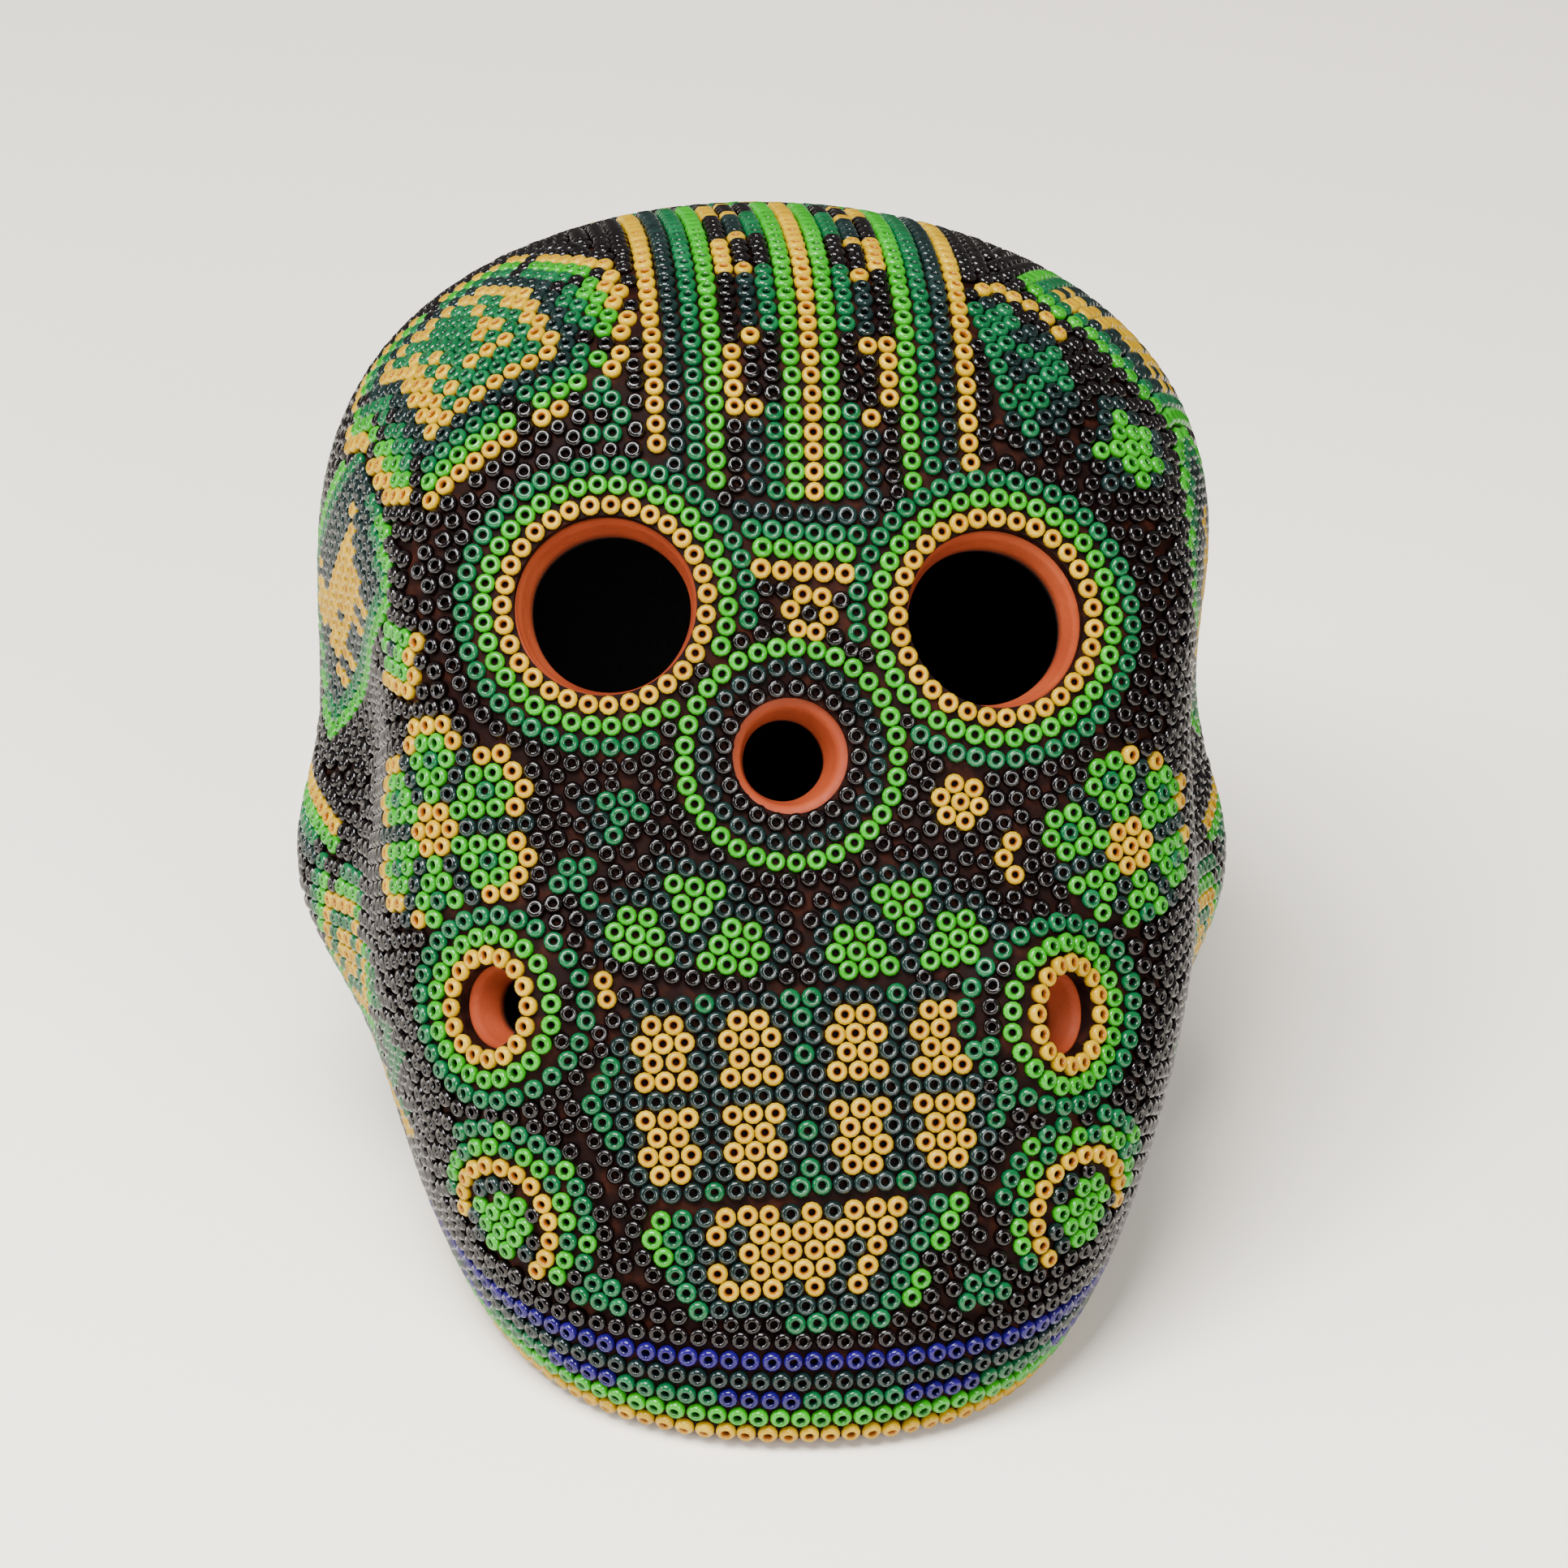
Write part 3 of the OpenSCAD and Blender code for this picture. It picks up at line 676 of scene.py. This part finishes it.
# Rings round each hole: three single rows of beads, pressed in one after another from the edge of
# the hole outwards. Where an eye ring would run into the nose rings, it stops.
RINGS = {"nose": "KDL", "left_eye": "YLG", "right_eye": "YLG", "left_cheek": "YLG", "right_cheek": "YLG"}
NAMES = {letter: colour for letter, (colour, _) in GLASS.items()}
for name, colours in RINGS.items():
    at, axis, _ = hole_axes[name]
    u = np.cross([0, 0, 1], axis)
    u /= np.linalg.norm(u)
    w = np.cross(axis, u)
    for k, letter in enumerate(colours):
        r = ring_radius(name, k)
        count = math.floor(2 * math.pi * r / PITCH)
        ring = []
        for j in range(count):
            a = 2 * math.pi * (j + 0.5 * k) / count
            above = at + r * (math.cos(a) * u + math.sin(a) * w) + 12 * axis
            hit, n, _, _ = ground.ray_cast(Vector(above), -Vector(axis))
            if name != "nose":
                d = hit - Vector(hole_axes["nose"][0])
                nose = Vector(hole_axes["nose"][1])
                if (d - d.dot(nose) * nose).length < ring_radius("nose", 2) + PITCH * 0.96:
                    continue
            ring.append(press(hit, letter, 1.02, 0.8, n))
        finish_beads(f"{name}_ring_beads", ring, {letter: [f"{name}_ring_{NAMES[letter]}"]})

# Courses: six level rows of beads that run right round the foot of the head, yellow at the bottom
# and black on top. They are laid one on another, each shifted about half a bead from the one below.
COURSE_COLOURS = ["Y", "L", "BBBBGGGGG", "D", "B", "K"]
COURSE_NODES = ["course_yellow", "course_lime", "course_green_blue", "course_dark_green", "course_blue",
                "course_black"]
turns = np.linspace(0, 360, 721)
for k, z in enumerate(course_z):
    low, high = np.full(len(turns), -55.0), np.full(len(turns), -5.0)
    for _ in range(30):
        middle = (low + high) / 2
        above = layer(np.stack([direction(a, e) for a, e in zip(turns, middle)]), WAX_TOP)[:, 2] > z
        high, low = np.where(above, middle, high), np.where(above, low, middle)
    line = layer(np.stack([direction(a, e) for a, e in zip(turns, middle)]), WAX_TOP)
    along = np.concatenate([[0], np.cumsum(np.linalg.norm(np.diff(line, axis=0), axis=1))])
    count = math.floor(along[-1] / (PITCH * 1.03))
    colours = COURSE_COLOURS[k]
    ring = []
    for j in range(count):
        s = along[-1] * (j + 0.5 * (k % 2) + 0.25) / count
        p = Vector([float(np.interp(s, along, line[:, i])) for i in range(3)])
        ring.append(press(p, colours[(j + 4) % len(colours)], 1.03, 0))
    main = colours if len(colours) == 1 else "G"
    finish_beads(COURSE_NODES[k] + "_beads", ring, {main: [COURSE_NODES[k]]})

# Forehead stripes: straight columns of beads from the brow over the crown, in a fixed order of
# colours. Three columns on each side of the middle repeat a small bracket pattern.
STEP = 1.1  # the longest step over the wax before the way is laid flat on it again


def tangent(n, way):
    """A way laid flat on the wax, whose normal is n."""
    flat = way - way.dot(n) * n
    return flat.normalized()


def walk(p, n, ways, far):
    """Follows the wax from p for a distance, along the first of some ways, and carries them all."""
    steps = max(1, math.ceil(abs(far) / STEP))
    for _ in range(steps):
        p, n = seat(p + ways[0] * (far / steps))
        ways = [tangent(n, way) for way in ways]
    return p, n, ways


COLUMNS = ["Y", "D", "G", "L", "KKKKYYYYK", "DDDDYKKKY", "GGGGGKKKK", "L", "Y",
           "L", "GGGGGKKKK", "DDDDYKKKY", "KKKKYYYYK", "L", "G", "D", "Y"]
COLUMN_GAP, COLUMN_SPACING = 2.12, 1.01
MIDDLE = 1.3  # the stripes stand a little to the right, as the brow does
START_DROP = [-3.2, -3.0, -2.2, -1.2, -0.7, -0.6, -0.1, 0, 0, 0, -0.1, 0.6, -1.8, -1.2, -3.0, -3.0, -3.4]
STRIPE_END = 60.0
stripes = []
brow_p, _ = seat(Vector((MIDDLE, -28.6, 94.0)))
for j, colours in enumerate(COLUMNS):
    x = MIDDLE + (j - len(COLUMNS) // 2) * COLUMN_GAP
    p, n = seat(Vector((x, brow_p.y, brow_p.z)))
    way = tangent(n, Vector((0, 1, 0.4)))
    p, n, (way,) = walk(p, n, [way], -START_DROP[j])
    travelled, k = -START_DROP[j], 0
    while travelled < STRIPE_END:
        stripes.append(press(p, colours[k % len(colours)], 1.0, SNUG))
        way = Vector((1, 0, 0)).cross(n)
        way = -way.normalized() if way.y < 0 else way.normalized()
        p, n = seat(p + way * PITCH * COLUMN_SPACING)
        p, n = seat(Vector((x, p.y, p.z)))
        travelled += PITCH * COLUMN_SPACING
        k += 1
stripes = [b for b in stripes if b is not None]
finish_beads("forehead_stripe_beads", stripes, {"G": ["forehead_stripes"]})

# Between the eyes: four short rows of beads, then a flower of yellow beads round a black one. Like
# all patterns from here on it is laid from a chart of rows, one letter for a bead, from the middle
# outwards. A dot leaves a place to the ground, and _ starts a row that is stacked squarely.
STACKED, NESTED = 0.99, 0.875  # from one row to the next, as a share of the pitch


def point_at(az, el):
    """The point of the wax at an azimuth and elevation from the centre of the head."""
    return seat(Vector(layer(direction(az, el)[None], WAX_TOP)[0]))


def frame_at(az, el, turn):
    """A point of the wax, its normal, and the ways right and up on it, turned by some degrees."""
    p, n = point_at(az, el)
    up = tangent(n, Vector((0, 1, 0)) if abs(n.z) > 0.9 else Vector((0, 0, 1)))
    right = up.cross(n)
    t = math.radians(turn)
    return p, n, right * math.cos(t) + up * math.sin(t), up * math.cos(t) - right * math.sin(t)


def lay(rows, az, el, turn=0.0, pitch=PITCH, room=CLOSE):
    """Presses in the beads of a chart round a place; each row is shifted half a bead from the last."""
    p0, n0, right, up = frame_at(az, el, turn)
    heights, shifts, h = [], [], 0.0
    for i, row in enumerate(rows):
        stacked = row[0] == "_"
        if i:
            h -= pitch * (STACKED if stacked else NESTED)
        even = (len(row.lstrip("_")) + 1) % 2 * 0.5
        if i == 0:
            phase = even
        elif not stacked:
            phase = 0.5 - phase
        shifts.append(phase - even)
        heights.append(h)
    middle = (heights[0] + heights[-1]) / 2
    laid = []
    for row, h, shift in zip(rows, heights, shifts):
        row = row.lstrip("_")
        p, n, (_, right_here) = walk(p0, n0, [up, right], h - middle)
        half = len(row) / 2 - shift
        first = math.ceil(half - 0.5)
        for way, order in ((1, range(first, len(row))), (-1, range(first - 1, -1, -1))):
            q, m, ways = p, n, [right_here * way]
            last = 0.0
            for i in order:
                x = abs((i + 0.5 - half) * pitch)
                q, m, ways = walk(q, m, ways, x - last)
                last = x
                if row[i] != "." and not over_hole(q) and q.z > LOWEST:
                    laid.append(press(q, row[i], max(1.0, pitch / PITCH), room))
    return [b for b in laid if b is not None]


def dots(letter, *spots):
    """Single beads at an azimuth and elevation from the centre of the head."""
    return [b for b in (press(point_at(*spot)[0], letter, 1.0, 0.8) for spot in spots) if b is not None]


brow = lay(["DDDDDDD", "GGGGGG", "LLLLL", "_YYYYY"], 0.0, 64.3, -3, PITCH * 1.07, 0.8)
brow += lay(["YY", "YKY", "YY"], 1.3, 54.9, -8, PITCH, 0.62)
brow += dots("Y", (-11.5, 50.5), (12.5, 48.0))
finish_beads("brow_beads", brow, {"D": ["brow_bridge"]})

# Mouth: beads counted out in rows, a little wider apart than elsewhere. An upper lip of green wedges
# stands over two rows of yellow teeth on a dark ground, and a chin panel closes it below.
LIP = ["DDDD", "DLLLD", "DDDLLDDD", "DLLDLDLLD", "DLLLDDLLLD", "DLLLDLLLD"]
lip = lay(LIP, -17.5, 7.0, -6, PITCH * 1.04) + lay(LIP, 14.5, 6.5, 5, PITCH * 1.04)
finish_beads("upper_lip_beads", lip, {"L": ["upper_lip"]})
TEETH = ["DDDGDDDGGDDDGDDD", "DYYDDYYDGDYYDDYYD", "DYYYDYYYDDYYYDYYYD", "GDYYDDYYDGDYYDDYYDG",
         "GDYYYDYYYDDYYYDYYYDG", "GDDDDDDDDDDDDDDDDDDDG", "GDYYYDYYYDDYYYDYYYDG", "GDYYDDYYDGDYYDDYYDG",
         "DYYYDYYYDDYYYDYYYD", "DYYDDYYDGDYYDDYYD", "DDDGDDDGGDDDGDDD"]
teeth = lay(TEETH, -0.5, -12.5, 3, PITCH * 1.06, 0.8)
finish_beads("teeth_beads", teeth, {"Y": ["teeth"], "D": ["teeth_ground"]})
CHIN = ["LGDYYYDYDYYYDGL", "LGDYDYYYYYYYDGL.", "LGDDYYYYYDYDGL.", "GDYDYYYYDYDG..", "GDYYYDYDYDGL.",
        "GDDDDDDDDGL.", "GGGGGGGGG.."]
chin = lay(CHIN, 0.5, -26.0, 3, PITCH * 1.06)
finish_beads("chin_beads", chin, {"D": ["chin_panel"]})

# Cheek flowers: six lime petals round a yellow eye, edged in yellow, one on each cheekbone.
# Small posies of three to eight beads fill the places between them, the nose and the mouth.
FLOWER = ["YYY", "YLLY", "YYDLGLDYY", "YLLDLLDLLY", "YLGLDLDLGLY", "YLLLYYLLLY", "DDDDYYYDDDD",
          "YLLLYYLLLY", "YLGLDLDLGLY", "YLLDLLDLLY", "YYDLGLDYY", "DYLLYD"]
RIGHT_FLOWER = [".LLY", "..DLGLDY.", ".LLDLLDLL.", "KLGLDLDLGLY", "KLLLYYLLLY", "KDDDYYYDDDK",
                "KLLLYYLLLY", ".LGLDLDLGL.", "KLLDLLDLLK", ".KDLGLDKK"]
left_flower = lay(FLOWER, -54.5, 12.3, 24, PITCH)
right_flower = lay(RIGHT_FLOWER, 48.0, 12.0, 5, PITCH)
right_flower += lay(["Y.YYY", "Y.YYY", "YYYYY", "..YYY", "..YY.", "..YYYY"], 78, 14, -10, PITCH)
finish_beads("left_flower_beads", left_flower, {"L": ["left_cheek_flower"]})
finish_beads("right_flower_beads", right_flower, {"L": ["right_cheek_flower"]})
posies = lay(["DGG", "DGG", "DG"], -32, 19, 15) + lay(["GG", "GG", "G"], -33.5, 9.5, 7)
posies += lay(["YY", "YYY", "YY"], 26.5, 22.5, -15) + lay(["Y", "Y.", "Y"], 32, 13, 0)
posies += dots("Y", (-28.6, 0.6), (-27.3, -1.4), (-26.4, -3.4))
posies += lay(["YY", "YY.", "Y"], 26.0, 3.6, 10, PITCH, SNUG)
posies += lay(["GG", "GGG"], -21.5, -28.5, -4) + lay(["GG", "GGG"], 18.5, -28.0, 6)
finish_beads("posy_beads", posies)


# Jaw arches: on each side of the chin a yellow arch of beads over a lime posy, with a fringe of
# green and lime. Each arch is a row pressed in at one distance from the middle of the posy.
def arch(az, el, radius, colours, start, stop):
    """A row of beads at a radius round a place, from one angle to another."""
    p0, n0, right, up = frame_at(az, el, 0.0)
    count = max(1, round(math.radians(stop - start) * radius / PITCH))
    laid = []
    for i in range(count + 1):
        a = math.radians(start + (stop - start) * i / count)
        q, _, _ = walk(p0, n0, [right * math.cos(a) + up * math.sin(a)], radius)
        if q.z > LOWEST and not over_hole(q):
            laid.append(press(q, colours[i % len(colours)], 1.0, SNUG))
    return [b for b in laid if b is not None]


for hand, az, el, start, stop in (("left", -34.0, -26.2, -35, 190), ("right", 31.5, -24.6, -10, 215)):
    jaw = lay([".LL", "LLLL", "LLL", "LL"], az, el)
    jaw += arch(az, el, 4.35, "D", 0, 330)
    jaw += arch(az, el, 6.5, "Y", start, stop)
    jaw += arch(az, el, 8.65, "LLG", start + 12, stop - 12)
    jaw += arch(az, el, 10.8, "GLGG", start + 30, stop - 60)
    finish_beads(f"{hand}_jaw_beads", jaw, {"G": [f"{hand}_jaw"]})


# Crown: on the left a medallion of yellow and green beads in stepped frames of colour. On the right a
# veined leaf under a yellow arc, a lime gem, and a long panel with a yellow creature. Frames are rows
# of beads pressed in one round another, each in the notches of the row inside it.
def touching(i, gap):
    """Places for a new bead that touches bead i and one of its neighbours."""
    p, n = places[i], facings[i]
    found = []
    for j in near(p, 2 * gap * 0.98):
        if j == i:
            continue
        d = places[j] - p
        span = d.length
        if span < 0.5:
            continue
        lift = math.sqrt(max(0.0, gap * gap - span * span / 4))
        way = n.cross(d).normalized()
        for s in (-1, 1):
            found.append(p + d / 2 + way * (lift * s))
    return found


def grow(sources, colour_of, close_to=None, gap=PITCH, room=0.94, size=1.0):
    """Adds beads round the sources and then round the new ones, until there is no more room.
    With close_to, only beside those beads."""
    queue, new = list(sources), []
    head = 0
    while head < len(queue):
        i = queue[head]
        head += 1
        for c in touching(i, gap):
            at, n = seat(c)
            if at.z < LOWEST or near(at, PITCH * room) or over_hole(at):
                continue
            if close_to and min((places[b] - at).length for b in close_to) > gap * 1.25:
                continue
            number = press(at, colour_of(at), size, 0, n)
            new.append(number)
            queue.append(number)
    return new


def surround(beads, colours, notches=0, notch=0.16):
    """Rows laid round a finished pattern, one colour after another. Notches of black break them, each
    a share of its part of the circle, but for the dark green ones."""
    everything, ring = list(beads), list(beads)
    middle = sum((places[b] for b in beads), Vector()) / len(beads)
    middle, n = seat(middle)
    right = tangent(n, Vector((1, 0.2, 0.3)))
    up = n.cross(right)
    for letter in colours:
        def colour_of(p, letter=letter):
            d = p - middle
            a = math.degrees(math.atan2(d.dot(up), d.dot(right)))
            broken = notches and letter != "D" and (a * notches / 360) % 1 < notch
            return "K" if broken else letter
        ring = grow(ring, colour_of, ring)
        everything += ring
    return everything


MEDALLION = [".YYYYYYY..", ".YGGYGGYY.", ".YGGGGGGY.", "..YYGGGYGY", "..YGGGGGYY", "..YYYGGYGY",
             "..YGGGYYGY", "..YYYGGGGY", "..YGGYYYGY", "..YYYGGGGY", "..YGGGGGGY", "..YYYYYYYY"]
left_crown = lay(["G.", "GG", ".G", "GG"], -67.0, 66.5, 8)
medallion = surround(lay(MEDALLION, -102.0, 53.5, 90), "DGLY", 8, 0.14)
left_crown += medallion
finish_beads("left_crown_beads", left_crown, {"Y": ["left_crown_panel"]})
LEAF = ["DGGGD", "DDGGDDD", "GGDGDGGD", "DGGGDDGGGD", "GGGGGGGD"]
leaf = lay(LEAF, 83.5, 64.0, -110, PITCH, SNUG)
arc_rows = dots("Y", (110.5, 68.2), (111.5, 66.2), (108.5, 64.9), (106.0, 63.3), (103.0, 61.8), (98.5, 60.9))
gem = lay(["DD", "DLD", "DLLLD", "DLLLLD", "DLLLD", "DDLD"], 80.5, 51.0, -24)
CREATURE = ["Y.Y...........", "YYY...........", "YYY........Y..", ".YYYYYYYYYYY..", "..YYYYYYYYY...",
            "..YYYDYYYYY...", "..YYYYYYYYY...", "..Y.Y...Y.Y...", "..Y.Y...Y.Y..."]
CREATURE = [row.replace(".", "D") for row in CREATURE]
right_panel = surround(lay(CREATURE, 120, 43.5, -40), "GL", 0)
right_crown = leaf + arc_rows + gem + right_panel
finish_beads("right_crown_beads", right_crown, {"Y": ["right_crown_panel"]})

# Temples and sides: framed panels with a yellow creature, flowers, medals, and strips of rows, the
# same on both sides but for a small square on the left.
for hand, s in (("left", -1), ("right", 1)):
    panel = surround(lay(CREATURE if s < 0 else [r[::-1] for r in CREATURE], s * 99, 25, s * -52), "GL", 0)
    square = lay(["LLLY", "LDLY", "LLLY", "YYYY"], s * 69, 28.0, s * -12) if s < 0 else []
    flower = lay(["YYYY", "YGGGY", "YGYYGY", "YGYYYGY", "YGYYGY", "YGGGY", "YYYY"], s * 79, -18, s * -15)
    flower = surround(flower, "LG", 5, 0.2)
    strip = lay(["Y" * 13, "L" * 13, "G" * 13, "D" * 13], s * 101, -7, s * -6)
    medal = surround(lay(["LL", "LYL", "LL"], s * 126, 17, 0), "GDYLG", 6, 0.12)
    medal += surround(lay(["YY", "YGY", "YY"], s * 104, -22, 0), "DLG", 0)
    rear = surround(lay(["LL", "LYL", "LL"], s * 127, -16, 0), "GDYLG", 6, 0.12)
    spray = lay(["G.G.G", "GGGG", "GGG", "GG", "G"], s * 60, -22, s * 10)
    spray += lay(["G.GG.GG.GG", "YYYYYYYYYYY", "YY.YYY.YY."], s * 67, -31.0, 0, PITCH, SNUG)
    finish_beads(f"{hand}_temple_beads", panel + square, {"G": [f"{hand}_temple"]})
    finish_beads(f"{hand}_side_beads", flower + strip + medal + rear + spray,
                 {"G": [f"{hand}_ear_side"], "Y": [f"{hand}_jaw_side"]})

# Back of the head: a large medallion behind the stripes, a flower below it, and smaller medallions,
# gems and single yellow beads round them, all of the same beads as the face.
behind = surround(lay(["YY", "YYY", "YY"], 180, 52, 0), "LGDYLGDY", 6, 0.15)
for az, el in ((150, 33), (-150, 33), (152, -9), (-152, -9)):
    behind += surround(lay(["GG", "GYG", "GG"], az, el, 0), "LDYGL", 5, 0.12)
behind += surround(lay(FLOWER, 180, 6, 0), "DGY", 6, 0.15)
for az, el in ((168, -22), (192, -22), (138, 5), (-138, 5), (165, 27), (195, 27)):
    behind += surround(lay(["L", "LL", "LLL", "LL", "L"], az, el, 0), "D", 0)
for az in (173, 180, 187):
    behind += lay(["Y", "YY", "Y"], az, -30 if az == 180 else -26, 0, PITCH, SNUG)
for az, el in ((162, 45), (-162, 45), (163, 8), (-163, 8), (176, 33), (-160, -27), (160, -27)):
    single = lay(["Y"], az, el, 0)
    if single:  # it is left out where another pattern lies, and gets green ones where it has a neighbour
        behind += surround(single, "G", 0)
finish_beads("back_pattern_beads", behind, {"Y": ["back_crown"]})

# The ground: black beads fill everything between the patterns, pressed in last. Each is set against
# its neighbours, slightly smaller ones go where room is left, and the crowded ones are eased apart.
ground_beads = grow(range(len(places)), lambda p: "K")
ground_beads += grow(range(len(places)), lambda p: "K", None, PITCH * 0.9, 0.80, 0.94)
APART, EASINGS = PITCH * 0.985, 10
loose = set(ground_beads)
for _ in range(EASINGS):
    crowd = KDTree(len(places))
    for i, p in enumerate(places):
        crowd.insert(p, i)
    crowd.balance()
    for i in ground_beads:
        p, push = places[i], Vector()
        for q, j, d in crowd.find_range(p, APART):
            if j != i and d > 1e-6:
                push += (p - q) * ((APART - d) / d * (0.5 if j in loose else 1.0))
        if push.length > 0.01:
            at, n = seat(p + push * min(0.7, 0.35 / push.length))
            if at.z > LOWEST and not over_hole(at):
                places[i], facings[i] = at, n
zones = {"front": [], "left": [], "right": [], "crown": [], "back": []}
for b in ground_beads:
    d = places[b] - Vector(CENTRE)
    if d.y > 40:
        zones["back"].append(b)
    elif d.z > 40:
        zones["crown"].append(b)
    elif abs(d.x) > 26 or d.y > -10:
        zones["left" if d.x < 0 else "right"].append(b)
    else:
        zones["front"].append(b)
finish_beads("ground_front", zones["front"], {"K": ["nose_surround"]})
finish_beads("ground_left", zones["left"], {"K": ["left_cheekbone", "left_cheek_hollow"]})
finish_beads("ground_right", zones["right"], {"K": ["right_cheekbone", "right_cheek_hollow"]})
finish_beads("ground_crown", zones["crown"])
finish_beads("ground_back", zones["back"], {"K": ["back_of_head"]})
bpy.data.objects.remove(bead)
